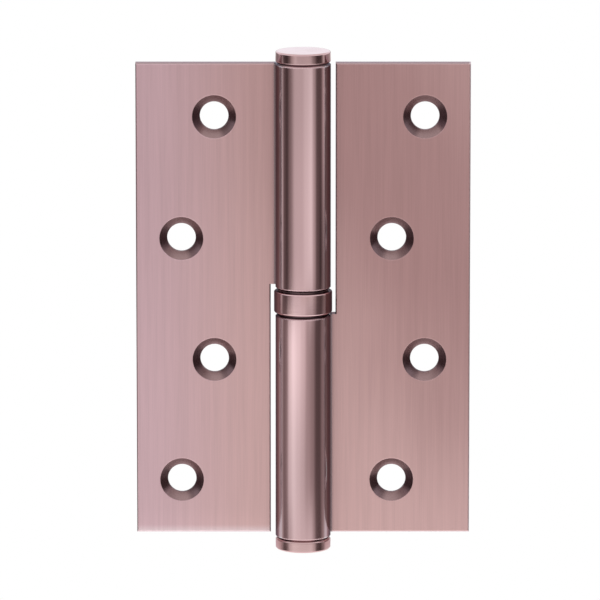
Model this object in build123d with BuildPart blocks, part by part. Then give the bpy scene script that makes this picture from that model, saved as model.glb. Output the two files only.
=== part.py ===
"""Lift-off mortise hinge with rolled knuckles and a ball thrust bearing between them.

The origin is on the pin's axis, at the middle of the hinge's height. +Z runs up the pin, +X to the right
and -Y out of the countersunk front faces. All sizes are in millimetres.
"""

import math
import os

from build123d import *

# Leaves
leaf_height = 100.0
leaf_reach = 35.0
leaf_thickness = 2.5
closed_gap = 4.0
leaf_edge_chamfer = 0.2

# Screw holes, in a zigzag of two columns
screw_hole_diameter = 6.0
countersink_diameter = 9.2
countersink_angle = 90.0
hole_rows = 4
hole_end_margin = 11.3
hole_edge_margin = 9.5
hole_column_spacing = 6.9

# Rolled knuckles
bore_diameter = 6.6
back_bend_radius = 1.5
seam_gap = 0.25
knuckle_chamfer = 0.4
knuckle_land = 0.1
knuckle_clearance = 1.0

# Pin
running_clearance = 0.05
pin_chamfer = 0.6
pin_top_room = 8.0
pin_foot_room = 3.0

# End caps
cap_thickness = 2.5
cap_groove = 0.35
cap_edge_chamfer = 0.45
spigot_length = 5.0

# Thrust bearing
bearing_height = 5.4
shell_end_gap = 0.4
shell_proud = 0.3
shell_wall = 0.8
shell_edge_chamfer = 0.35
race_pin_clearance = 0.2
race_shell_clearance = 0.1
ball_count = 5
ball_clearance = 0.03
pocket_clearance = 0.04
cage_wall = 0.25
cage_gap = 0.12
cage_pin_clearance = 0.25
cage_shell_clearance = 0.15

# Levels along the pin
bearing_half = bearing_height / 2
leaf_half = leaf_height / 2
knuckle_overhang = knuckle_chamfer + knuckle_land
web_start = bearing_half + knuckle_overhang
knuckle_end = leaf_half + knuckle_overhang
spigot_end = knuckle_end - spigot_length
pin_top = spigot_end - pin_top_room
pin_foot = -spigot_end + pin_foot_room

# Radii about the pin
bore_radius = bore_diameter / 2
barrel_radius = bore_radius + leaf_thickness
running_radius = bore_radius - running_clearance
cut_edge = barrel_radius + knuckle_clearance

# Leaf faces, and the bend that carries the sheet back into the curl
front_y = closed_gap / 2
back_y = front_y + leaf_thickness
bend_y = back_y + back_bend_radius
bend_x = math.sqrt((barrel_radius + back_bend_radius) ** 2 - bend_y**2)
bend_angle = math.degrees(math.atan2(bend_y, -bend_x))

# Seam, where the curl's free end stops short of the leaf's front face
seam_y = front_y - seam_gap
seam_outer_angle = 180 - math.degrees(math.asin(seam_y / barrel_radius))
seam_inner_angle = 180 - math.degrees(math.asin(seam_y / bore_radius))
seam_outer_x = -math.sqrt(barrel_radius**2 - seam_y**2)
seam_inner_x = -math.sqrt(bore_radius**2 - seam_y**2)
curl_outer_sweep = seam_outer_angle - bend_angle - 360
curl_inner_sweep = seam_inner_angle - bend_angle - 360

# Screw-hole places on the left leaf, from the top row down
hole_pitch = (leaf_height - 2 * hole_end_margin) / (hole_rows - 1)
outer_column = leaf_reach - hole_edge_margin
inner_column = outer_column - hole_column_spacing
hole_places = [
    (-(outer_column if row % 2 else inner_column), leaf_half - hole_end_margin - row * hole_pitch)
    for row in range(hole_rows)
]

# Bearing section: shell, races, balls and cage
shell_radius = barrel_radius + shell_proud
shell_bore = shell_radius - shell_wall
shell_half = bearing_half - shell_end_gap
race_bore = running_radius + race_pin_clearance
cage_inner = running_radius + cage_pin_clearance
cage_outer = shell_bore - cage_shell_clearance
ball_pitch_radius = (cage_inner + cage_outer) / 2
pocket_radius = (cage_outer - cage_inner) / 2 - cage_wall
ball_radius = pocket_radius - pocket_clearance
race_level = ball_radius + ball_clearance
race_height = bearing_half - race_level
cage_height = 2 * (race_level - cage_gap)

os.makedirs("parts", exist_ok=True)


# Door leaf: flat plate, then its inner edge bent back and curled round the pin into the upper knuckle
with BuildPart() as door_leaf:
    with BuildSketch(Plane.XY.offset(web_start)) as rolled_section:
        with BuildLine():
            Line((-leaf_reach, front_y), (-bend_x, front_y))
            CenterArc((-bend_x, bend_y), back_bend_radius + leaf_thickness, -90, bend_angle - 90)
            CenterArc((0, 0), bore_radius, bend_angle, curl_inner_sweep)
            Line((seam_inner_x, seam_y), (seam_outer_x, seam_y))
            CenterArc((0, 0), barrel_radius, bend_angle, curl_outer_sweep)
            CenterArc((-bend_x, bend_y), back_bend_radius, -90, bend_angle - 90)
            Line((-bend_x, back_y), (-leaf_reach, back_y))
            Line((-leaf_reach, back_y), (-leaf_reach, front_y))
        make_face()
    extrude(amount=leaf_half - web_start)
    with BuildSketch(Plane.XZ.offset(-front_y)):
        with Locations((-(leaf_reach + cut_edge) / 2, 0)):
            Rectangle(leaf_reach - cut_edge, leaf_height)
    extrude(amount=-leaf_thickness)
    plate_faces = door_leaf.faces().filter_by(Axis.Y)
    plate_edges = plate_faces.edges().filter_by(lambda edge: edge.center().X < -barrel_radius)
    chamfer(plate_edges, leaf_edge_chamfer)
    with BuildSketch(Plane.XY.offset(bearing_half)):
        add(rolled_section.sketch_local)
        Circle(barrel_radius, mode=Mode.INTERSECT)
    extrude(amount=knuckle_end - bearing_half)
    end_rims = door_leaf.edges().filter_by(GeomType.CIRCLE)
    for level in (bearing_half, knuckle_end):
        rim = end_rims.filter_by_position(Axis.Z, level, level).sort_by(SortBy.RADIUS)[-1]
        chamfer(rim, knuckle_chamfer)
    with Locations(Plane.XZ.offset(-front_y)):
        with Locations(*hole_places):
            CounterSinkHole(
                screw_hole_diameter / 2,
                countersink_diameter / 2,
                depth=leaf_thickness,
                counter_sink_angle=countersink_angle,
            )
door_leaf.part.label = "door_leaf"
export_step(door_leaf.part, "parts/door_leaf.step")


# Frame leaf: the same stamping, turned half a turn about the front normal
with BuildPart() as frame_leaf:
    add(door_leaf.part, rotation=(0, 180, 0))
frame_leaf.part.label = "frame_leaf"
export_step(frame_leaf.part, "parts/frame_leaf.step")


# Hinge pin: pressed into the lower knuckle, turned down to run in the upper one
with BuildPart() as hinge_pin:
    with BuildSketch(Plane.XZ):
        with BuildLine():
            Polyline(
                (0, pin_foot),
                (bore_radius, pin_foot),
                (bore_radius, -bearing_half),
                (running_radius, -bearing_half),
                (running_radius, pin_top - pin_chamfer),
                (running_radius - pin_chamfer, pin_top),
                (0, pin_top),
                close=True,
            )
        make_face()
    revolve(axis=Axis.Z)
hinge_pin.part.label = "hinge_pin"
export_step(hinge_pin.part, "parts/hinge_pin.step")


# Top cap: turned plug whose spigot is pressed into the upper knuckle's bore
with BuildPart() as top_cap:
    with BuildSketch(Plane.XZ):
        with BuildLine():
            Polyline(
                (0, spigot_end),
                (bore_radius, spigot_end),
                (bore_radius, knuckle_end),
                (barrel_radius - cap_groove, knuckle_end),
                (barrel_radius, knuckle_end + cap_groove),
                (barrel_radius, knuckle_end + cap_thickness),
                (0, knuckle_end + cap_thickness),
                close=True,
            )
        make_face()
    revolve(axis=Axis.Z)
    top_rim = top_cap.faces().sort_by(Axis.Z)[-1].edges()
    chamfer(top_rim, cap_edge_chamfer)
top_cap.part.label = "top_cap"
export_step(top_cap.part, "parts/top_cap.step")


# Bottom cap: the same plug, the other way up
with BuildPart() as bottom_cap:
    mirror(top_cap.part, about=Plane.XY)
bottom_cap.part.label = "bottom_cap"
export_step(bottom_cap.part, "parts/bottom_cap.step")


# Bearing shell: turned ring that covers the races and the balls
with BuildPart() as bearing_shell:
    with BuildSketch(Plane.XZ) as shell_section:
        with Locations(((shell_bore + shell_radius) / 2, 0)):
            Rectangle(shell_wall, 2 * shell_half)
        chamfer(shell_section.vertices().group_by(Axis.X)[-1], shell_edge_chamfer)
    revolve(axis=Axis.Z)
bearing_shell.part.label = "bearing_shell"
export_step(bearing_shell.part, "parts/bearing_shell.step")


# Upper race: hardened washer under the end of the upper knuckle, pressed into the shell
with BuildPart() as upper_race:
    with BuildSketch(Plane.XY.offset(race_level)):
        Circle(shell_bore)
        Circle(race_bore, mode=Mode.SUBTRACT)
    extrude(amount=race_height)
upper_race.part.label = "upper_race"
export_step(upper_race.part, "parts/upper_race.step")


# Lower race: the same washer on the end of the lower knuckle, running free inside the shell
with BuildPart() as lower_race:
    with BuildSketch(Plane.XY.offset(-bearing_half)):
        Circle(shell_bore - race_shell_clearance)
        Circle(race_bore, mode=Mode.SUBTRACT)
    extrude(amount=race_height)
lower_race.part.label = "lower_race"
export_step(lower_race.part, "parts/lower_race.step")


# Ball cage: flat ring with a pocket for each ball
with BuildPart() as ball_cage:
    with BuildSketch(Plane.XY.offset(-cage_height / 2)):
        Circle(cage_outer)
        Circle(cage_inner, mode=Mode.SUBTRACT)
        with PolarLocations(ball_pitch_radius, ball_count):
            Circle(pocket_radius, mode=Mode.SUBTRACT)
    extrude(amount=cage_height)
ball_cage.part.label = "ball_cage"
export_step(ball_cage.part, "parts/ball_cage.step")


# Balls, one in each pocket
for number, place in enumerate(PolarLocations(ball_pitch_radius, ball_count), start=1):
    with BuildPart() as bearing_ball:
        with Locations(place):
            Sphere(ball_radius)
    bearing_ball.part.label = f"bearing_ball_{number:02d}"
    export_step(bearing_ball.part, f"parts/bearing_ball_{number:02d}.step")
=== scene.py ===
"""Dresses the lift-off mortise hinge in brushed and polished antique copper, in a small light tent.

Lengths are metres in the hinge's own frame: +Z runs up the pin, +X to the frame leaf and -Y out of the
countersunk front faces.
"""

import logging
import math
from dataclasses import dataclass, replace
from enum import Enum

import bpy
from bpy.types import ID, Material, Node, NodeSocket, NodeTree, Object
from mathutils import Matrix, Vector


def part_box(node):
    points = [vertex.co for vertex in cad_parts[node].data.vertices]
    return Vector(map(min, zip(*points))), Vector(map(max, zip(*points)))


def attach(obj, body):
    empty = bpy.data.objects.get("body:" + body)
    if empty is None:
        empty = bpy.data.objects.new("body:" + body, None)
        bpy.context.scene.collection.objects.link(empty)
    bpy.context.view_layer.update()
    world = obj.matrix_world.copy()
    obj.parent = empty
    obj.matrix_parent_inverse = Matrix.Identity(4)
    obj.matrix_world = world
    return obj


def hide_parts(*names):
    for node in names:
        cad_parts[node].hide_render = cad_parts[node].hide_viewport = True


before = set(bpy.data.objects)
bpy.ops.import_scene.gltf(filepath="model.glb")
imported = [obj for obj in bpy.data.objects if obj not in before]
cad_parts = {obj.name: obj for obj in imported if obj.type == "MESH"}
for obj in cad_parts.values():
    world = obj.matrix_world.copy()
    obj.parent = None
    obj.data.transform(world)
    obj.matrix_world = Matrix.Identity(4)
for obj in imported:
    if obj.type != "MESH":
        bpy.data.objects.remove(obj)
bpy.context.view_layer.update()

log = logging.getLogger("hinge")

Point = tuple[float, float]
Range = tuple[float, float]
Triple = tuple[float, float, float]
Colour = tuple[float, float, float]
Value = NodeSocket | float | Colour
Inputs = dict[int | str, Value]

MM = 0.001
WHITE: Colour = (1.0, 1.0, 1.0)
COPPER_EDGE: Colour = (0.50, 0.48, 0.52)
NOISE_SPAN: Range = (0.3, 0.7)
LIP_FACING: Range = (-0.6, -0.2)
SHARP_ANGLE = math.radians(25)
SHELTER_SAMPLES = 8
ROUND_SAMPLES = 6


class Body(Enum):
    """The moving bodies that carry the turned pieces."""

    FRAME_SIDE = "frame_side"
    DOOR_SIDE = "door_side"
    BEARING_TOP = "bearing_top"


class End(Enum):
    """Which end of the barrel a cap closes, as the sign of its height."""

    TOP = 1
    BOTTOM = -1


class Glow(Enum):
    """Shaders that give light: paper that glows, and the surround."""

    PAPER = "ShaderNodeEmission"
    SURROUND = "ShaderNodeBackground"


class Graph:
    """A node tree, with short calls for the nodes that the finishes and the studio use."""

    def __init__(self, tree: NodeTree) -> None:
        """Takes over a tree and empties it."""
        self.tree = tree
        self.tree.nodes.clear()

    def node(self, kind: str, inputs: Inputs | None = None, **settings: object) -> Node:
        """Adds a node.

        Args:
            kind: Blender's type name of the node.
            inputs: What its inputs take, by their names or numbers.
            settings: Attributes to set on it.

        Returns:
            The new node.
        """
        made = self.tree.nodes.new(kind)
        for name, setting in settings.items():
            setattr(made, name, setting)
        for key, value in (inputs or {}).items():
            self.put(made.inputs[key], value)
        return made

    def put(self, socket: NodeSocket, value: Value) -> None:
        """Links an output into an input, or sets the input's constant value.

        Args:
            socket: The input to feed.
            value: An output socket, a number or a colour.
        """
        if isinstance(value, NodeSocket):
            self.tree.links.new(value, socket)
        elif isinstance(value, tuple) and len(value) < len(socket.default_value):
            socket.default_value = (*value, 1.0)
        else:
            socket.default_value = value

    def math(self, operation: str, first: Value, *others: Value, clamp: bool = False) -> NodeSocket:
        """Adds Math nodes that work through numbers from left to right.

        Args:
            operation: Their operation.
            first: The first number or socket.
            others: Those that follow, or none for an operation on one number.
            clamp: Whether each result is kept from 0 to 1.

        Returns:
            The result.
        """
        for other in others or (0.0,):
            made = self.node("ShaderNodeMath", {0: first, 1: other}, operation=operation, use_clamp=clamp)
            first = made.outputs["Value"]
        return first

    def span(
        self, value: Value, low: float, high: float, start: float = 0.0, end: float = 1.0
    ) -> NodeSocket:
        """Maps a range of a value smoothly to another range, held at its ends.

        Args:
            value: The value to map.
            low: Where the source range starts.
            high: Where the source range ends.
            start: The result at low.
            end: The result at high.

        Returns:
            The mapped value.
        """
        inputs = {"Value": value, "From Min": low, "From Max": high, "To Min": start, "To Max": end}
        made = self.node("ShaderNodeMapRange", inputs, interpolation_type="SMOOTHSTEP")
        return made.outputs["Result"]

    def past(
        self, value: Value, level: float, blend: float, start: float = 0.0, end: float = 1.0
    ) -> NodeSocket:
        """Goes from start to end where a value passes a level, within a blend on each side of it."""
        return self.span(value, level - blend, level + blend, start, end)

    def noise(self, place: NodeSocket, cell: Triple, detail: float = 2.0) -> NodeSocket:
        """Adds noise whose cells have the given size.

        Args:
            place: Where the noise is read, in metres.
            cell: Size of a cell along X, Y and Z, in metres.
            detail: Number of finer octaves.

        Returns:
            The noise, mostly within NOISE_SPAN.
        """
        scale = tuple(1 / size for size in cell)
        grid = self.node("ShaderNodeMapping", {"Vector": place, "Scale": scale}, vector_type="POINT")
        inputs = {"Vector": grid.outputs["Vector"], "Scale": 1.0, "Detail": detail}
        return self.node("ShaderNodeTexNoise", inputs, noise_dimensions="3D").outputs["Fac"]

    # The Mix node has sockets of one name for each kind of data, so the next two go by number
    def mix(self, factor: Value, first: Value, second: Value, mode: str = "MIX") -> NodeSocket:
        """Mixes two colours, where the factor is how much of the second."""
        inputs = {0: factor, 6: first, 7: second}
        return self.node("ShaderNodeMix", inputs, data_type="RGBA", blend_type=mode).outputs[2]

    def lerp(self, factor: Value, first: Value, second: Value) -> NodeSocket:
        """Mixes two numbers, where the factor is how much of the second."""
        inputs = {0: factor, 2: first, 3: second}
        return self.node("ShaderNodeMix", inputs, data_type="FLOAT").outputs[0]

    def choose(self, factor: Value, first: NodeSocket, second: NodeSocket) -> NodeSocket:
        """Mixes two shaders, where the factor is how much of the second."""
        return self.node("ShaderNodeMixShader", {0: factor, 1: first, 2: second}).outputs["Shader"]

    def split(self, vector: NodeSocket) -> tuple[NodeSocket, NodeSocket, NodeSocket]:
        """Splits a vector into its X, Y and Z."""
        made = self.node("ShaderNodeSeparateXYZ", {"Vector": vector})
        return made.outputs["X"], made.outputs["Y"], made.outputs["Z"]

    def tone(self, colour: Value, *tones: NodeSocket) -> NodeSocket:
        """Multiplies a colour by tones.

        Args:
            colour: The colour.
            tones: Numbers near 1.

        Returns:
            The toned colour.
        """
        for grey in tones:
            colour = self.mix(1.0, colour, grey, "MULTIPLY")
        return colour

    def shelter(self, reach: float, shut_share: float, open_share: float) -> NodeSocket:
        """How far a place is shut in by the metal around it.

        Args:
            reach: How near that metal has to be, in metres.
            shut_share: The share of open sky at which a place is wholly shut in.
            open_share: The share of open sky at which it starts to count as shut in.

        Returns:
            0 in the open, 1 in a crevice.
        """
        made = self.node("ShaderNodeAmbientOcclusion", {"Distance": reach}, samples=SHELTER_SAMPLES)
        return self.span(made.outputs["AO"], shut_share, open_share, 1.0, 0.0)

    def rounded(self, radius: float) -> NodeSocket:
        """The surface's normal with its edges softened to a radius."""
        return self.node("ShaderNodeBevel", {"Radius": radius}, samples=ROUND_SAMPLES).outputs["Normal"]

    def bump(
        self, height: NodeSocket, strength: float, depth: float, normal: NodeSocket | None = None
    ) -> NodeSocket:
        """Tilts the surface's normal by a height.

        Args:
            height: The height, from 0 to 1.
            strength: How much of the tilt shows.
            depth: What a height of 1 measures, in metres.
            normal: The normal to tilt, if it isn't the surface's own.

        Returns:
            The tilted normal.
        """
        made = self.node("ShaderNodeBump", {"Strength": strength, "Distance": depth, "Height": height})
        if normal is not None:
            self.put(made.inputs["Normal"], normal)
        return made.outputs["Normal"]

    def light(self, kind: Glow, colour: Value, strength: float = 1.0) -> NodeSocket:
        """Adds a shader that gives light."""
        return self.node(kind.value, {"Color": colour, "Strength": strength}).outputs[0]

    def seen(self) -> NodeSocket:
        """Picks out the rays that show a background: the camera's own, mirrored and refracted ones.

        Returns:
            1 on such a ray, 0 on others.
        """
        path = self.node("ShaderNodeLightPath")
        rays = ("Is Camera Ray", "Is Glossy Ray", "Is Transmission Ray")
        return self.math("MAXIMUM", *(path.outputs[ray] for ray in rays))


class Surface(Graph):
    """A new material's graph, which knows where a point lies on its object and which way it faces."""

    def __init__(self, name: str) -> None:
        """Makes the material.

        Args:
            name: The material's name.
        """
        self.material = bpy.data.materials.new(name)
        self.material.use_nodes = True
        super().__init__(self.material.node_tree)
        coords = self.node("ShaderNodeTexCoord")
        self.place = coords.outputs["Object"]
        self.across, self.depth, self.height = self.split(self.place)
        self.sideways, self.facing, self.upward = self.split(coords.outputs["Normal"])

    def principled(self, inputs: Inputs) -> NodeSocket:
        """Adds a Principled shader."""
        return self.node("ShaderNodeBsdfPrincipled", inputs).outputs["BSDF"]

    def show(self, shader: NodeSocket) -> Material:
        """Puts a shader on the material's output, and gives the finished material."""
        self.node("ShaderNodeOutputMaterial", {"Surface": shader})
        return self.material

    def metal(
        self, colour: Value, roughness: Value, normal: NodeSocket, edge_tint: Colour, anisotropy: float
    ) -> Material:
        """Finishes the material as metal, with its gloss drawn out with regard to the pin's axis.

        Args:
            colour: Its colour.
            roughness: Its roughness.
            normal: Its normal, with the fine grain in it.
            edge_tint: Tint of what it mirrors at a glancing angle.
            anisotropy: How far the gloss is drawn out.

        Returns:
            The material.
        """
        inputs = {
            "Base Color": colour,
            "Metallic": 1.0,
            "Roughness": roughness,
            "Normal": normal,
            "Specular Tint": edge_tint,
            "Anisotropic": anisotropy,
            "Tangent": self.node("ShaderNodeTangent", axis="Z").outputs["Tangent"],
        }
        return self.show(self.principled(inputs))


@dataclass(frozen=True)
class LeafZones:
    """The parts of a leaf, each as a share from 0 to 1.

    The plate is all but the knuckle. The cut is the plate's edge beside the other leaf's knuckle. The edge
    is all of the plate's edges with that one, and the recess is the walls of its countersinks.
    """

    plate: NodeSocket
    cut: NodeSocket
    edge: NodeSocket
    recess: NodeSocket


@dataclass(frozen=True)
class LeafFinish:
    """Antique copper on a leaf: brushed along the height on the plate, polished on the rolled knuckle."""

    # Colours, from painted highlights on the copper to painted shade
    # A painted highlight along the knuckle
    knuckle_highlight: Colour = (0.86, 0.80, 0.82)
    # A painted sheen on edges that face down or right, on the cut and at the door leaf's foot
    sheen: Colour = (0.80, 0.66, 0.68)
    polish: Colour = (0.655, 0.455, 0.462)
    rubbed: Colour = (0.635, 0.416, 0.404)
    # Painted light, rose, at the door leaf's free edge
    lit_rose: Colour = (0.625, 0.428, 0.458)
    # Painted shade on edges that face up, lighter than on those that face sideways
    top_edge: Colour = (0.50, 0.365, 0.37)
    # Painted shade across the plates, towards the upper right
    shaded_copper: Colour = (0.465, 0.278, 0.272)
    # Patina with painted shade, on edges that face sideways and in the countersinks
    patina_and_shade: Colour = (0.34, 0.225, 0.225)
    # Painted shade on the countersink walls nearest and furthest from the knuckle
    deep: Colour = (0.18, 0.115, 0.12)
    # Painted shade on the knuckle's flanks and in crevices
    painted_shade: Colour = (0.080, 0.070, 0.078)

    # Gloss
    plate_roughness: float = 0.34
    knuckle_roughness: float = 0.11
    recess_roughness: float = 0.26
    roughness_spread: float = 0.025
    anisotropy: float = 0.55

    # Outline of the plate, and how sharply its zones meet
    leaf_reach: float = 35 * MM
    leaf_half: float = 50 * MM
    knuckle_edge: float = 6.1 * MM
    knuckle_blend: float = 0.2 * MM
    cut_edge: float = 7.2 * MM
    middle_blend: float = 1.0 * MM
    border: float = 0.3 * MM
    border_blend: float = 0.05 * MM
    edge_round: float = 0.3 * MM

    # Which way edges and countersink walls face, as parts of the normal
    slant_facing: Range = (0.80, 0.96)
    under_facing: Range = (-0.5, -0.1)
    top_facing: Range = (0.5, 0.8)
    near_lean: Range = (0.15, 0.40)
    near_rise: Range = (-0.35, -0.10)
    far_lean: Range = (-0.66, -0.50)

    # Brushing: hairlines, streaks and clouds, with the tones that they give
    hairline_cell: Triple = (0.22 * MM, 0.22 * MM, 14 * MM)
    hairline_detail: float = 3.0
    hairline_span: Range = (0.25, 0.75)
    hairline_tones: Range = (0.968, 1.032)
    hairline_strength: float = 0.07
    hairline_depth: float = 0.02 * MM
    hairline_knuckle: float = 0.15
    streak_cell: Triple = (1.1 * MM, 1.1 * MM, 45 * MM)
    streak_tones: Range = (0.970, 1.030)
    cloud_cell: Triple = (14 * MM, 14 * MM, 34 * MM)
    cloud_detail: float = 1.0
    cloud_shift: float = 4 * MM

    # Painted shade, which grows towards the upper right and eases at the top right corner, and painted
    # light and shade at the leaves' ends
    shade_slope: Range = (-24 * MM, 38 * MM)
    shade_door: float = 0.5
    corner_slope: Range = (60 * MM, 82 * MM)
    corner_share: float = 0.68
    head_start: float = 22 * MM
    head_tone: float = 1.05
    foot_start: float = -16 * MM
    foot_tone: float = 0.97
    glow_start: float = -44 * MM
    glow_tone: float = 1.05
    foot_sheen_start: float = -48.2 * MM
    foot_sheen_share: float = 0.7

    # Knuckle, by depth from its front: painted shade and highlight on the rims of its ends, a painted
    # highlight along it, painted shade on its flanks and in crevices
    rim_facing: Range = (0.2, 0.6)
    rim_depth: Range = (-5.2 * MM, -3.2 * MM)
    rim_tones: Range = (0.75, 0.25)
    lip_tone: float = 1.25
    highlight_front: Range = (-4.0 * MM, -3.5 * MM)
    highlight_back: Range = (-3.1 * MM, -2.6 * MM)
    flank_front: Range = (-3.8 * MM, -1.5 * MM)
    flank_back: Range = (2.2 * MM, 5.2 * MM)
    flank_strength: float = 0.80
    crevice: float = 2.0 * MM
    crevice_shares: Range = (0.30, 0.66)

    def by_leaf(self, leaf: Surface, door: float, other: float = 1.0) -> NodeSocket:
        """One number on the door leaf and another on the frame leaf."""
        return leaf.span(leaf.across, -self.knuckle_edge, self.knuckle_edge, door, other)

    def near_foot(self, leaf: Surface, top: float) -> NodeSocket:
        """A share that is 1 at the leaf's foot and has faded out at a height above it."""
        return leaf.span(leaf.height, -self.leaf_half, top, 1.0, 0.0)

    def zones(self, leaf: Surface) -> LeafZones:
        """Marks out the leaf's parts.

        Args:
            leaf: The leaf's graph.

        Returns:
            The parts.
        """
        side = leaf.math("ABSOLUTE", leaf.across)
        plate = leaf.past(side, self.knuckle_edge, self.knuckle_blend)
        square = leaf.math("ABSOLUTE", leaf.facing)
        slant = leaf.math("MULTIPLY", plate, leaf.span(square, *self.slant_facing, 1.0, 0.0))
        free_edge = leaf.past(side, self.leaf_reach - self.border, self.border_blend)
        level = leaf.math("ABSOLUTE", leaf.height)
        end_edge = leaf.past(level, self.leaf_half - self.border, self.border_blend)
        hand = leaf.math("SIGN", leaf.across)
        beside = leaf.past(leaf.math("MULTIPLY", hand, leaf.height), 0.0, self.middle_blend)
        past_cut = leaf.past(side, self.cut_edge, self.border_blend)
        inner = leaf.math("SUBTRACT", plate, past_cut, clamp=True)
        cut = leaf.math("MULTIPLY", inner, leaf.math("SUBTRACT", beside, end_edge, clamp=True))
        edge = leaf.math("MULTIPLY", leaf.math("MAXIMUM", free_edge, end_edge, cut), slant)
        return LeafZones(plate, cut, edge, leaf.math("SUBTRACT", slant, edge))

    def edge_colour(self, leaf: Surface, cut: NodeSocket) -> NodeSocket:
        """Colours the plate's edges: a painted highlight below, at the right and on the cut, painted shade
        elsewhere.

        Args:
            leaf: The leaf's graph.
            cut: The edge beside the other leaf's knuckle.

        Returns:
            The colour.
        """
        under = leaf.span(leaf.upward, *self.under_facing, 1.0, 0.0)
        right = leaf.past(leaf.across, self.leaf_reach - self.border, self.border_blend)
        shaded = leaf.mix(leaf.span(leaf.upward, *self.top_facing), self.patina_and_shade, self.top_edge)
        return leaf.mix(leaf.math("MAXIMUM", under, right, cut), shaded, self.sheen)

    def recess_colour(self, leaf: Surface) -> NodeSocket:
        """Colours the countersinks with patina and painted shade: deepest on the walls nearest and
        furthest from the knuckle.

        Args:
            leaf: The leaf's graph.

        Returns:
            The colour.
        """
        lean = leaf.math("MULTIPLY", leaf.sideways, leaf.math("SIGN", leaf.across))
        rise = leaf.span(leaf.upward, *self.near_rise)
        near_wall = leaf.math("MULTIPLY", leaf.span(lean, *self.near_lean), rise)
        far_wall = leaf.span(lean, *self.far_lean, 1.0, 0.0)
        return leaf.mix(leaf.math("MAXIMUM", near_wall, far_wall), self.patina_and_shade, self.deep)

    def plate_hue(self, leaf: Surface) -> NodeSocket:
        """Colours the plate from its own copper to painted shade, with painted rose light at the door
        leaf's free edge and a painted sheen at its foot.

        Args:
            leaf: The leaf's graph.

        Returns:
            The colour.
        """
        cloud = leaf.noise(leaf.place, self.cloud_cell, self.cloud_detail)
        shift = leaf.span(cloud, *NOISE_SPAN, -self.cloud_shift, self.cloud_shift)
        slope = leaf.math("ADD", leaf.across, leaf.height, shift)
        # Painted shade towards the upper right, eased at the top right corner
        shaded = leaf.math(
            "MULTIPLY",
            leaf.span(slope, *self.shade_slope),
            self.by_leaf(leaf, self.shade_door),
            leaf.span(slope, *self.corner_slope, 1.0, self.corner_share),
        )
        # Painted rose light towards the door leaf's free edge
        free_edge = leaf.span(leaf.across, -self.leaf_reach, -self.knuckle_edge, 1.0, 0.0)
        hue = leaf.mix(free_edge, leaf.mix(shaded, self.rubbed, self.shaded_copper), self.lit_rose)
        # A painted sheen at the door leaf's foot
        door_share = self.by_leaf(leaf, self.foot_sheen_share, 0.0)
        foot = leaf.math("MULTIPLY", self.near_foot(leaf, self.foot_sheen_start), door_share)
        return leaf.mix(foot, hue, self.sheen)

    def brushed(self, leaf: Surface, hairline: NodeSocket, streak: NodeSocket) -> NodeSocket:
        """Tones the plate's colour with painted light and shade along its height, and with the brushing.

        Args:
            leaf: The leaf's graph.
            hairline: Noise of the finest lines.
            streak: Noise of the broader lines.

        Returns:
            The colour.
        """
        glow = self.near_foot(leaf, self.glow_start)
        foot = self.near_foot(leaf, self.foot_start)
        return leaf.tone(
            self.plate_hue(leaf),
            leaf.lerp(glow, 1.0, self.by_leaf(leaf, self.glow_tone)),
            leaf.span(leaf.height, self.head_start, self.leaf_half, 1.0, self.head_tone),
            leaf.lerp(foot, 1.0, self.by_leaf(leaf, self.foot_tone)),
            leaf.span(hairline, *self.hairline_span, *self.hairline_tones),
            leaf.span(streak, *NOISE_SPAN, *self.streak_tones),
        )

    def polished(self, leaf: Surface) -> NodeSocket:
        """Colours the knuckle: painted shade on its upper rim, a painted highlight on its lower rim and
        along it.

        Args:
            leaf: The leaf's graph.

        Returns:
            The colour.
        """
        on_rim = leaf.span(leaf.upward, *self.rim_facing)
        rim_tone = leaf.span(leaf.depth, *self.rim_depth, *self.rim_tones)
        barrel = leaf.tone(
            self.polish,
            leaf.lerp(on_rim, 1.0, rim_tone),
            leaf.span(leaf.upward, *LIP_FACING, self.lip_tone, 1.0),
        )
        # A painted highlight along the knuckle, kept off the rims
        front = leaf.span(leaf.depth, *self.highlight_front)
        back = leaf.span(leaf.depth, *self.highlight_back, 1.0, 0.0)
        highlight = leaf.math("SUBTRACT", leaf.math("MULTIPLY", front, back), on_rim, clamp=True)
        return leaf.mix(highlight, barrel, self.knuckle_highlight)

    def shade_share(self, leaf: Surface, zones: LeafZones) -> NodeSocket:
        """How far painted shade darkens the copper, on the knuckle's flanks and in crevices.

        Args:
            leaf: The leaf's graph.
            zones: The leaf's parts.

        Returns:
            0 where no shade is painted, 1 where it is wholly shaded.
        """
        flank = leaf.math(
            "MULTIPLY",
            leaf.span(leaf.depth, *self.flank_front, 0.0, self.flank_strength),
            leaf.span(leaf.depth, *self.flank_back, 1.0, 0.0),
            leaf.math("SUBTRACT", 1.0, zones.plate),
        )
        shut_in = leaf.shelter(self.crevice, *self.crevice_shares)
        sheltered = leaf.math("MULTIPLY", shut_in, leaf.math("SUBTRACT", 1.0, zones.cut))
        return leaf.math("MAXIMUM", flank, sheltered)

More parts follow.
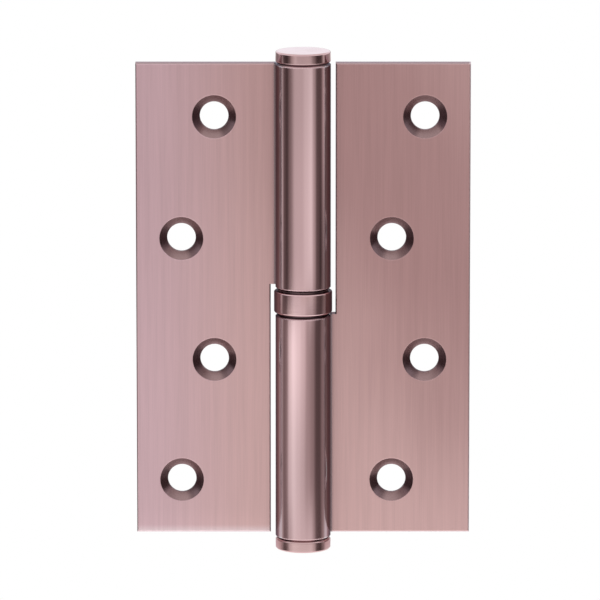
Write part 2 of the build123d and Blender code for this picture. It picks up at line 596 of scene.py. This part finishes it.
    def material(self) -> Material:
        """Builds the finish.

        Returns:
            The material.
        """
        leaf = Surface("brushed_antique_copper")
        zones = self.zones(leaf)
        hairline = leaf.noise(leaf.place, self.hairline_cell, self.hairline_detail)
        streak = leaf.noise(leaf.place, self.streak_cell)
        copper = leaf.mix(zones.plate, self.polished(leaf), self.brushed(leaf, hairline, streak))
        copper = leaf.mix(zones.recess, copper, self.recess_colour(leaf))
        copper = leaf.mix(zones.edge, copper, self.edge_colour(leaf, zones.cut))
        smooth = leaf.lerp(zones.plate, self.knuckle_roughness, self.plate_roughness)
        grain = leaf.span(streak, *NOISE_SPAN, -self.roughness_spread, self.roughness_spread)
        ridge_share = leaf.span(zones.plate, 0.0, 1.0, self.hairline_knuckle, 1.0)
        ridges = leaf.math("MULTIPLY", hairline, ridge_share)
        soft_edges = leaf.rounded(self.edge_round)
        return leaf.metal(
            # Painted shade over the copper on the knuckle's flanks and in crevices
            colour=leaf.mix(self.shade_share(leaf, zones), copper, self.painted_shade),
            roughness=leaf.lerp(zones.recess, leaf.math("ADD", smooth, grain), self.recess_roughness),
            normal=leaf.bump(ridges, self.hairline_strength, self.hairline_depth, soft_edges),
            edge_tint=COPPER_EDGE,
            anisotropy=self.anisotropy,
        )


@dataclass(frozen=True)
class TurnedFinish:
    """Metal turned on a lathe and polished: faint rings round the axis, a little tone in them, painted
    shade in crevices and on the flanks, and a painted highlight on lips that face down.
    """

    name: str
    base: Colour
    shade: Colour
    roughness: float
    # Painted shade in crevices and on the flanks
    patina_and_shade: Colour = (0.13, 0.080, 0.084)
    edge_tint: Colour = WHITE
    roughness_spread: float = 0.02
    anisotropy: float = 0.3
    # How much lighter lips that face down are painted, as a painted highlight
    lip_tone: float = 1.0
    ring_cell: Triple = (6 * MM, 6 * MM, 0.12 * MM)
    ring_tones: Range = (0.97, 1.03)
    ring_strength: float = 0.06
    ring_depth: float = 0.01 * MM
    cloud_cell: Triple = (4 * MM, 4 * MM, 6 * MM)
    cloud_detail: float = 1.0
    cloud_span: Range = (0.35, 0.65)
    # Reach and shares of the painted shade in crevices
    crevice: float = 0.9 * MM
    crevice_shares: Range = (0.66, 0.93)
    # Painted shade on the flanks
    flank_depth: Range = (2.0 * MM, 4.0 * MM)
    flank_strength: float = 0.0

    def material(self) -> Material:
        """Builds the finish.

        Returns:
            The material.
        """
        turned = Surface(self.name)
        rings = turned.noise(turned.place, self.ring_cell)
        cloud = turned.noise(turned.place, self.cloud_cell, self.cloud_detail)
        # Random tone and rings, with a painted highlight on lips that face down
        metal = turned.tone(
            turned.mix(turned.span(cloud, *self.cloud_span), self.base, self.shade),
            turned.span(rings, *NOISE_SPAN, *self.ring_tones),
            turned.span(turned.upward, *LIP_FACING, self.lip_tone, 1.0),
        )
        # Painted shade on the flanks and in crevices
        middle = turned.math("ABSOLUTE", turned.depth)
        flank = turned.span(middle, *self.flank_depth, self.flank_strength, 0.0)
        shade_share = turned.math("MAXIMUM", flank, turned.shelter(self.crevice, *self.crevice_shares))
        gloss = (self.roughness - self.roughness_spread, self.roughness + self.roughness_spread)
        return turned.metal(
            colour=turned.mix(shade_share, metal, self.patina_and_shade),
            roughness=turned.span(cloud, *NOISE_SPAN, *gloss),
            normal=turned.bump(rings, self.ring_strength, self.ring_depth),
            edge_tint=self.edge_tint,
            anisotropy=self.anisotropy,
        )


CAP_COPPER = TurnedFinish(
    name="polished_cap_copper",
    base=(0.61, 0.42, 0.425),
    shade=(0.58, 0.39, 0.385),
    roughness=0.11,
)
# The bottom cap, with lighter painted shade in its crevices
FOOT_COPPER = replace(CAP_COPPER, name="polished_foot_copper", patina_and_shade=(0.40, 0.27, 0.275))
# The ring, with painted shade on its flanks and a painted highlight on its lower lip
RING_COPPER = TurnedFinish(
    name="polished_ring_copper",
    base=(0.63, 0.435, 0.44),
    shade=(0.60, 0.405, 0.40),
    roughness=0.11,
    patina_and_shade=(0.085, 0.066, 0.074),
    edge_tint=COPPER_EDGE,
    lip_tone=1.3,
    flank_strength=0.85,
)
PIN_STEEL = TurnedFinish(
    name="ground_pin_steel",
    base=(0.56, 0.55, 0.53),
    shade=(0.50, 0.49, 0.47),
    roughness=0.22,
)
# Races and balls painted dark, as shade where they sit inside the barrel
SHADED_BEARING_STEEL = TurnedFinish(
    name="shaded_bearing_steel",
    base=(0.10, 0.075, 0.07),
    shade=(0.07, 0.05, 0.047),
    roughness=0.28,
)


@dataclass(frozen=True)
class NylonFinish:
    """Natural nylon of the ball cage, off-white with a fine moulded grain."""

    pale: Colour = (0.80, 0.78, 0.72)
    deep: Colour = (0.70, 0.67, 0.60)
    roughness: float = 0.45
    grain: float = 0.08 * MM
    grain_strength: float = 0.15
    grain_depth: float = 0.01 * MM

    def material(self) -> Material:
        """Builds the finish.

        Returns:
            The material.
        """
        nylon = Surface("natural_nylon")
        grain = nylon.noise(nylon.place, (self.grain, self.grain, self.grain))
        inputs = {
            "Base Color": nylon.mix(grain, self.pale, self.deep),
            "Roughness": self.roughness,
            "Normal": nylon.bump(grain, self.grain_strength, self.grain_depth),
        }
        return nylon.show(nylon.principled(inputs))


def add_object(name: str, data: ID) -> Object:
    """Adds an object to the scene.

    Args:
        name: Its name.
        data: Its mesh, lamp or camera.

    Returns:
        The object.
    """
    obj = bpy.data.objects.new(name, data)
    bpy.context.scene.collection.objects.link(obj)
    return obj


def add_mesh(name: str, vertices: list[Triple], faces: list[tuple[int, ...]]) -> Object:
    """Adds a mesh object to the scene.

    Args:
        name: Its name.
        vertices: Its points.
        faces: Its faces, as numbers of points.

    Returns:
        The object.
    """
    mesh = bpy.data.meshes.new(name)
    mesh.from_pydata(vertices, [], faces)
    return add_object(name, mesh)


def aim(obj: Object, place: Vector, direction: Vector) -> None:
    """Puts a lamp or the camera in its place and turns it to look in a direction."""
    obj.location = place
    obj.rotation_euler = direction.to_track_quat("-Z", "Y").to_euler()


def wear(obj: Object, material: Material) -> None:
    """Gives an object one material in place of what it had."""
    obj.data.materials.clear()
    obj.data.materials.append(material)


def stand_for(obj: Object, node: str, body: Body, finish: Material) -> Object:
    """Dresses a turned piece and lets it stand for its plain solid.

    Args:
        obj: The piece.
        node: The solid's name.
        body: The body that carries it.
        finish: Its material.

    Returns:
        The piece.
    """
    wear(obj, finish)
    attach(obj, body.value)
    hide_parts(node)
    return obj


def arc(centre: Point, radius: float, start: float, end: float, steps: int = 6) -> list[Point]:
    """Points along a round of a profile.

    Args:
        centre: Its centre, as distance from the axis and height.
        radius: Its radius.
        start: Its first angle, in degrees from the outward direction.
        end: Its last angle.
        steps: Number of chords.

    Returns:
        The points, both ends included.
    """
    angles = [math.radians(start + (end - start) * step / steps) for step in range(steps + 1)]
    return [(centre[0] + radius * math.cos(a), centre[1] + radius * math.sin(a)) for a in angles]


def lathe(name: str, profile: list[Point], segments: int = 128) -> Object:
    """Turns a closed profile about the Z axis into a closed mesh.

    Args:
        name: Name of the new object.
        profile: Its points, anticlockwise as seen with the axis on the left. Where the first and last lie
            on the axis, they become single points; otherwise the profile is closed into a ring.
        segments: Number of steps round the axis.

    Returns:
        The new object.
    """
    vertices: list[Triple] = []
    rings: list[list[int]] = []
    for radius, height in profile:
        count = segments if radius > 0 else 1
        rings.append([len(vertices) + step for step in range(count)])
        for step in range(count):
            turn = math.tau * step / segments
            vertices.append((radius * math.cos(turn), radius * math.sin(turn), height))
    pairs = list(zip(rings, rings[1:]))
    on_axis = profile[0][0] == 0.0
    if not on_axis:
        pairs.append((rings[-1], rings[0]))
    faces: list[tuple[int, ...]] = []
    for low, high in pairs:
        for step in range(segments):
            after = (step + 1) % segments
            places = ((low, step), (low, after), (high, after), (high, step))
            corners = [ring[turn % len(ring)] for ring, turn in places]
            faces.append(tuple(dict.fromkeys(corners)))
    obj = add_mesh(name, vertices, faces)
    obj.data.validate()
    obj.data.shade_smooth()
    obj.data.set_sharp_from_angle(angle=SHARP_ANGLE)
    return obj


@dataclass
class Leaf:
    """One leaf, with its rolled knuckle."""

    node: str
    finish: Material

    def dress(self) -> Object:
        """Gives the leaf its finish.

        Returns:
            The leaf.
        """
        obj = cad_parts[self.node]
        wear(obj, self.finish)
        return obj


@dataclass
class EndCap:
    """A turned plug that closes one end of the barrel, with a rounded rim and a slight draft."""

    end: End
    node: str
    body: Body
    finish: Material
    spigot_radius: float = 3.3 * MM
    groove: float = 0.35 * MM
    groove_angle: float = 45.0
    thickness: float = 2.5 * MM
    lip_radius: float = 0.25 * MM
    lip_steps: int = 4
    rim_radius: float = 0.35 * MM
    rim_steps: int = 8
    draft: float = 1.5
    crown: float = 0.06 * MM
    crown_middle: float = 0.5
    crown_fall: float = 0.3
    hold: float = 0.06 * MM

    def profile(self) -> list[Point]:
        """The top cap's profile, from the axis below to the axis above.

        Returns:
            Its points.
        """
        low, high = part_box(self.node)
        foot, reach = sorted((abs(low.z), abs(high.z)))
        radius = high.x
        seat = reach - self.thickness
        lip_rise = self.lip_radius * math.tan(math.radians(self.groove_angle / 2))
        lip = (radius - self.lip_radius, seat + self.groove + lip_rise)
        rim_height = reach - self.crown - self.rim_radius
        rim_side = radius - (rim_height - lip[1]) * math.tan(math.radians(self.draft))
        rim = (rim_side - self.rim_radius, rim_height)
        return [
            (0.0, foot),
            (self.spigot_radius, foot),
            (self.spigot_radius, seat),
            (radius - self.groove, seat),
            *arc(lip, self.lip_radius, -self.groove_angle, self.draft, self.lip_steps),
            (radius, lip[1] + self.hold),
            (rim_side, rim_height - self.hold),
            *arc(rim, self.rim_radius, self.draft, 90, self.rim_steps),
            (rim[0] - self.hold, reach - self.crown),
            (radius * self.crown_middle, reach - self.crown * self.crown_fall),
            (0.0, reach),
        ]

    def build(self) -> Object:
        """Makes the cap in place of its plain solid.

        Returns:
            The cap.
        """
        points = [(radius, self.end.value * height) for radius, height in self.profile()]
        if self.end is End.BOTTOM:
            points.reverse()
        return stand_for(lathe(f"{self.node}_rounded", points), self.node, self.body, self.finish)


@dataclass
class BearingRing:
    """The polished ring round the thrust bearing, with both outer edges rounded."""

    finish: Material
    node: str = "bearing_shell"
    wall: float = 0.8 * MM
    edge_radius: float = 0.35 * MM
    hold: float = 0.06 * MM

    def build(self) -> Object:
        """Makes the ring in place of its plain solid.

        Returns:
            The ring.
        """
        low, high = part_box(self.node)
        outer = high.x
        inner = outer - self.wall
        centre = outer - self.edge_radius
        round_low = low.z + self.edge_radius
        round_high = high.z - self.edge_radius
        points = [
            (inner, low.z),
            *arc((centre, round_low), self.edge_radius, -90, 0),
            (outer, round_low + self.hold),
            (outer, round_high - self.hold),
            *arc((centre, round_high), self.edge_radius, 0, 90),
            (inner, high.z),
        ]
        return stand_for(lathe(f"{self.node}_rounded", points), self.node, Body.BEARING_TOP, self.finish)


@dataclass
class BearingCore:
    """What runs inside the barrel: pin, races, cage and balls."""

    pin: Material
    steel: Material
    nylon: Material
    pin_node: str = "hinge_pin"
    cage_node: str = "ball_cage"
    races: tuple[str, ...] = ("upper_race", "lower_race")
    ball_prefix: str = "bearing_ball_"

    def dress(self) -> list[Object]:
        """Gives each inner piece its finish.

        Returns:
            The dressed pieces.
        """
        balls = sorted(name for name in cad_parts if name.startswith(self.ball_prefix))
        finishes = {self.pin_node: self.pin, self.cage_node: self.nylon}
        finishes.update({name: self.steel for name in (*self.races, *balls)})
        for name, finish in finishes.items():
            wear(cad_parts[name], finish)
        return [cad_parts[name] for name in finishes]


@dataclass(frozen=True)
class ToneStop:
    """A point of the tent's tone: azimuth from the front, in degrees to the right, and brightness."""

    azimuth: float
    tone: float
    dark_share: float = 0.70
    bend: float = 0.6

    def colour(self) -> tuple[float, float, float, float]:
        """The tone as a colour, warmer where it is darker."""
        cool = self.tone * (self.dark_share + (1 - self.dark_share) * self.tone**self.bend)
        return (self.tone, cool, cool, 1.0)


class TentPaper(Surface):
    """The tent's paper, which also knows the azimuth of a point, from the front to the right."""

    def __init__(self) -> None:
        """Makes the material.

        The azimuth is kept in radians, and as a share of a turn that starts at the back.
        """
        super().__init__("tent_paper")
        self.turn = self.math("ARCTAN2", self.across, self.math("MULTIPLY", self.depth, -1.0))
        self.around = self.math("ADD", self.math("DIVIDE", self.turn, math.tau), 0.5)

    def sector(self, azimuths: Range, start: float = 0.0, end: float = 1.0) -> NodeSocket:
        """Goes from start to end between two azimuths in degrees."""
        return self.span(self.turn, *(math.radians(azimuth) for azimuth in azimuths), start, end)

    def ramp(self, stops: tuple[ToneStop, ...]) -> NodeSocket:
        """Adds a ramp of tone round the wall.

        Args:
            stops: The ramp's stops, from the back round by the left, the front and the right.

        Returns:
            The tone as a colour.
        """
        made = self.node("ShaderNodeValToRGB")
        ramp = made.color_ramp
        ramp.interpolation = "EASE"
        for index, stop in enumerate(stops):
            position = (stop.azimuth + 180) / 360
            last = index == len(stops) - 1
            element = ramp.elements[index] if index == 0 or last else ramp.elements.new(position)
            element.position = position
            element.color = stop.colour()
        self.put(made.inputs["Fac"], self.around)
        return made.outputs["Color"]


@dataclass
class LightTent:
    """A round wall of paper about the hinge, seen in its polish alone: light in front, dark at each side.

    Levels are heights on the wall. As the camera looks down a little, the barrel mirrors what lies about
    55 mm lower.
    """

    radius: float = 0.30
    low: float = -0.40
    high: float = 0.22
    steps: int = 96

    # The ring's part of the wall, between those of the two knuckles
    ring_top: float = -0.0515
    ring_foot: float = -0.0580
    ring_blend: float = 0.001
    ring_turn: Range = (-60.0, 20.0)
    ring_shares: Range = (0.95, 0.45)

    # Fades along the barrel: the lower knuckle's light front, and the upper one's streak at the right
    fade_levels: Range = (-0.098, -0.066)
    fade_tones: Range = (0.84, 1.16)
    fade_left: Range = (-70.0, -50.0)
    fade_right: Range = (8.0, 25.0)
    streak_levels: Range = (-0.050, 0.002)
    streak_tones: Range = (0.6, 1.6)
    streak_turn: Range = (65.0, 80.0)

    # The barrel's two ends, and what its foot shows of the wall behind
    head_levels: Range = (-0.030, 0.004)
    head_tone: float = 0.86
    foot_levels: Range = (-0.116, -0.100)
    foot_tone: float = 1.12
    foot_share: float = 0.5
    rear_turn: Range = (92.0, 112.0)
    rear: Colour = (0.72, 0.56, 0.59)

    # The caps, and the light above and below them
    cap_levels: Range = (0.010, 0.017)
    sole_level: float = -0.124
    sole_blend: float = 0.003
    crown_level: float = 0.075
    crown_blend: float = 0.015
    crown: Colour = (1.15, 1.18, 1.25)
    apron_level: float = -0.160
    apron_blend: float = 0.012
    apron: Colour = (1.2, 1.2, 1.2)

    # What the upper knuckle mirrors
    upper: tuple[ToneStop, ...] = (
        ToneStop(-180, 0.90),
        ToneStop(-140, 0.35),
        ToneStop(-108, 0.26),
        ToneStop(-95, 0.60),
        ToneStop(-85, 0.16),
        ToneStop(-70, 0.09),
        ToneStop(-55, 0.30),
        ToneStop(-32, 0.76),
        ToneStop(-6, 0.78),
        ToneStop(12, 0.94),
        ToneStop(34, 1.08),
        ToneStop(46, 0.62),
        ToneStop(60, 0.16),
        ToneStop(78, 0.10),
        ToneStop(96, 0.46),
        ToneStop(110, 0.22),
        ToneStop(140, 0.35),
        ToneStop(180, 0.90),
    )

    # What the lower knuckle mirrors
    lower: tuple[ToneStop, ...] = (
        ToneStop(-180, 1.10),
        ToneStop(-140, 0.95),
        ToneStop(-118, 0.70),
        ToneStop(-104, 0.52),
        ToneStop(-84, 0.24),
        ToneStop(-72, 0.36),
        ToneStop(-58, 1.00),
        ToneStop(-42, 1.25),
        ToneStop(-20, 1.04),
        ToneStop(0, 0.84),
        ToneStop(18, 0.52),
        ToneStop(40, 0.38),
        ToneStop(57, 0.13),
        ToneStop(72, 0.12),
        ToneStop(90, 0.33),
        ToneStop(106, 0.24),
        ToneStop(125, 0.80),
        ToneStop(180, 1.10),
    )

    # What the top cap mirrors
    cap: tuple[ToneStop, ...] = (
        ToneStop(-180, 0.50),
        ToneStop(-135, 0.35),
        ToneStop(-115, 0.90),
        ToneStop(-101, 0.32),
        ToneStop(-88, 0.07),
        ToneStop(-70, 0.06),
        ToneStop(-58, 0.20),
        ToneStop(-46, 0.72),
        ToneStop(-32, 0.94),
        ToneStop(-20, 0.72),
        ToneStop(20, 0.68),
        ToneStop(31, 0.54),
        ToneStop(40, 0.24),
        ToneStop(62, 0.04),
        ToneStop(80, 0.06),
        ToneStop(101, 0.95),
        ToneStop(118, 0.55),
        ToneStop(180, 0.50),
    )

    # What the bottom cap mirrors
    sole: tuple[ToneStop, ...] = (
        ToneStop(-180, 1.15),
        ToneStop(-133, 1.10),
        ToneStop(-113, 0.72),
        ToneStop(-101, 0.35),
        ToneStop(-88, 0.10),
        ToneStop(-79, 0.11),
        ToneStop(-68, 0.32),
        ToneStop(-56, 0.95),
        ToneStop(-43, 1.14),
        ToneStop(0, 1.05),
        ToneStop(35, 1.12),
        ToneStop(48, 0.86),
        ToneStop(61, 0.13),
        ToneStop(77, 0.06),
        ToneStop(92, 0.22),
        ToneStop(115, 1.00),
        ToneStop(144, 1.25),
        ToneStop(180, 1.15),
    )

    def barrel(self, paper: TentPaper) -> NodeSocket:
        """Tones the part of the wall that the two knuckles and the ring mirror.

        Args:
            paper: The wall's graph.

        Returns:
            The tone as a colour.
        """
        over_ring = paper.past(paper.height, self.ring_top, self.ring_blend)
        at_ring = paper.past(paper.height, self.ring_foot, self.ring_blend)
        ring_share = paper.sector(self.ring_turn, *self.ring_shares)
        share = paper.lerp(over_ring, paper.math("MULTIPLY", at_ring, ring_share), 1.0)
        fade = paper.span(paper.height, *self.fade_levels, *self.fade_tones)
        front = paper.math(
            "MULTIPLY", paper.sector(self.fade_left), paper.sector(self.fade_right, 1.0, 0.0)
        )
        lower = paper.tone(paper.ramp(self.lower), paper.lerp(front, 1.0, fade))
        streak = paper.span(paper.height, *self.streak_levels, *self.streak_tones)
        right = paper.sector(self.streak_turn)
        upper = paper.ramp(self.upper)
        wall = paper.mix(share, lower, paper.tone(upper, paper.lerp(right, 1.0, streak)))
        wall = paper.mix(paper.span(paper.height, *self.foot_levels, self.foot_share, 0.0), wall, upper)
        return paper.tone(
            wall,
            paper.span(paper.height, *self.head_levels, 1.0, self.head_tone),
            paper.span(paper.height, *self.foot_levels, self.foot_tone, 1.0),
        )

    def paper(self) -> Material:
        """Builds the wall's glow: the barrel's part, then what lies above, behind and below it.

        Returns:
            The material.
        """
        paper = TentPaper()
        behind = paper.span(
            paper.math("ABSOLUTE", paper.turn), *(math.radians(azimuth) for azimuth in self.rear_turn)
        )
        foot = paper.span(paper.height, *self.foot_levels, 1.0, 0.0)
        layers = (
            (paper.span(paper.height, *self.cap_levels), paper.ramp(self.cap)),
            (paper.math("MULTIPLY", behind, foot), self.rear),
            (paper.past(paper.height, self.sole_level, self.sole_blend, 1.0, 0.0), paper.ramp(self.sole)),
            (paper.past(paper.height, self.apron_level, self.apron_blend, 1.0, 0.0), self.apron),
            (paper.past(paper.height, self.crown_level, self.crown_blend), self.crown),
        )
        wall = self.barrel(paper)
        for share, colour in layers:
            wall = paper.mix(share, wall, colour)
        return paper.show(paper.light(Glow.PAPER, wall))

    def build(self) -> Object:
        """Makes the wall.

        Returns:
            The wall.
        """
        count = self.steps
        turns = [math.tau * step / count for step in range(count)]
        ring = [(self.radius * math.sin(turn), -self.radius * math.cos(turn)) for turn in turns]
        vertices = [(x, y, height) for height in (self.low, self.high) for x, y in ring]
        faces = [(i, (i + 1) % count, count + (i + 1) % count, count + i) for i in range(count)]
        wall = add_mesh("tent_wall", vertices, faces)
        wall.data.shade_smooth()
        wear(wall, self.paper())
        seen_in_polish_only(wall)
        return wall


def seen_in_polish_only(obj: Object) -> None:
    """Hides an object from all but mirrored rays.

    Args:
        obj: The stage object.
    """
    obj.visible_camera = False
    obj.visible_diffuse = False
    obj.visible_shadow = False
    obj.visible_transmission = False
    obj.visible_volume_scatter = False


def flat_card(name: str, half: float, level: float) -> Object:
    """Makes a level square of the stage.

    Args:
        name: Its name.
        half: Half its side.
        level: Its height.

    Returns:
        The square.
    """
    corners = [(-half, -half, level), (half, -half, level), (half, half, level), (-half, half, level)]
    card = add_mesh(name, corners, [(0, 1, 2, 3)])
    return card


@dataclass(frozen=True)
class SoftLamp:
    """A round soft lamp that shines on the hinge, and that its polish doesn't show."""

    name: str
    place: Triple
    power: float = 3.0
    size: float = 0.6

    def build(self) -> Object:
        """Makes the lamp.

        Returns:
            The lamp.
        """
        data = bpy.data.lights.new(self.name, "AREA")
        data.energy = self.power
        data.shape = "DISK"
        data.size = self.size
        lamp = add_object(self.name, data)
        aim(lamp, Vector(self.place), -Vector(self.place))
        lamp.visible_glossy = False
        return lamp


@dataclass
class Studio:
    """Floor, white surround, lamps and the tent."""

    floor_level: float = -0.45
    floor_half: float = 1.5
    floor_colour: Colour = (0.90, 0.90, 0.90)
    floor_roughness: float = 0.8
    floor_white: Range = (0.7, 1.0)
    floor_fade: Range = (0.6, 1.2)
    bounce_level: float = -0.24
    bounce_half: float = 0.20
    bounce_tone: float = 1.3
    ambient: float = 0.55
    lamps: tuple[SoftLamp, ...] = (
        SoftLamp("key_lamp", (-0.7, -0.6, 0.9)),
        SoftLamp("fill_lamp", (0.8, -0.4, 0.8)),
        SoftLamp("back_lamp", (0.1, 0.9, 0.8)),
    )

    def surround(self) -> None:
        """Makes the white world: full white where it is seen or mirrored, softer as light."""
        world = bpy.data.worlds.new("white_surround")
        world.use_nodes = True
        graph = Graph(world.node_tree)
        soft = graph.light(Glow.SURROUND, WHITE, self.ambient)
        shown = graph.light(Glow.SURROUND, WHITE)
        graph.node("ShaderNodeOutputWorld", {"Surface": graph.choose(graph.seen(), soft, shown)})
        bpy.context.scene.world = world

    def floor(self) -> Object:
        """Makes the pale floor, which whitens away from the hinge where it is seen or mirrored.

        Returns:
            The floor.
        """
        pale = Surface("pale_floor")
        shader = pale.principled({"Base Color": self.floor_colour, "Roughness": self.floor_roughness})
        squares = [pale.math("MULTIPLY", axis, axis) for axis in (pale.across, pale.depth)]
        away = pale.math("SQRT", pale.math("ADD", *squares))
        whiteness = pale.span(away, *self.floor_fade, *self.floor_white)
        shown = pale.math("MULTIPLY", pale.seen(), whiteness)
        floor = flat_card("floor", self.floor_half, self.floor_level)
        wear(floor, pale.show(pale.choose(shown, shader, pale.light(Glow.PAPER, WHITE))))
        return floor

    def bounce(self) -> Object:
        """Makes the bright card under the hinge.

        Returns:
            The card.
        """
        paper = Surface("bounce_paper")
        card = flat_card("bounce_card", self.bounce_half, self.bounce_level)
        wear(card, paper.show(paper.light(Glow.PAPER, WHITE, self.bounce_tone)))
        seen_in_polish_only(card)
        return card

    def build(self) -> None:
        """Sets up the whole studio."""
        self.surround()
        self.floor()
        self.bounce()
        for lamp in self.lamps:
            lamp.build()
        LightTent().build()
        bpy.context.scene.view_settings.view_transform = "Standard"


@dataclass(frozen=True)
class PhotoCamera:
    """The camera: a long lens, square to the pin's front and a little above it."""

    distance: float = 1.43
    elevation: float = 10.6
    frame_width: float = 125.7 * MM
    aim_right: float = -0.65 * MM
    aim_up: float = 0.16 * MM
    sensor: float = 36.0
    clip: Range = (0.05, 20.0)

    def build(self) -> Object:
        """Makes the camera and sets it as the scene's own.

        Returns:
            The camera.
        """
        tilt = math.radians(self.elevation)
        back = Vector((0.0, -math.cos(tilt), math.sin(tilt)))
        data = bpy.data.cameras.new("photo_camera")
        data.sensor_width = self.sensor
        data.lens = self.sensor * self.distance / self.frame_width
        data.clip_start, data.clip_end = self.clip
        camera = add_object("photo_camera", data)
        aim(camera, Vector((self.aim_right, 0.0, self.aim_up)) + back * self.distance, -back)
        bpy.context.scene.camera = camera
        return camera


def main() -> None:
    """Dresses the hinge piece by piece, then sets up the studio and the camera."""
    logging.basicConfig(level=logging.INFO, format="%(message)s")
    leaf_copper = LeafFinish().material()
    pieces = [Leaf(node, leaf_copper).dress() for node in ("door_leaf", "frame_leaf")]
    pieces.append(EndCap(End.TOP, "top_cap", Body.DOOR_SIDE, CAP_COPPER.material()).build())
    pieces.append(EndCap(End.BOTTOM, "bottom_cap", Body.FRAME_SIDE, FOOT_COPPER.material()).build())
    pieces.append(BearingRing(RING_COPPER.material()).build())
    core = BearingCore(PIN_STEEL.material(), SHADED_BEARING_STEEL.material(), NylonFinish().material())
    pieces.extend(core.dress())
    for piece in pieces:
        log.info("dressed %s with %s", piece.name, piece.data.materials[0].name)
    Studio().build()
    PhotoCamera().build()


if __name__ == "__main__":
    main()
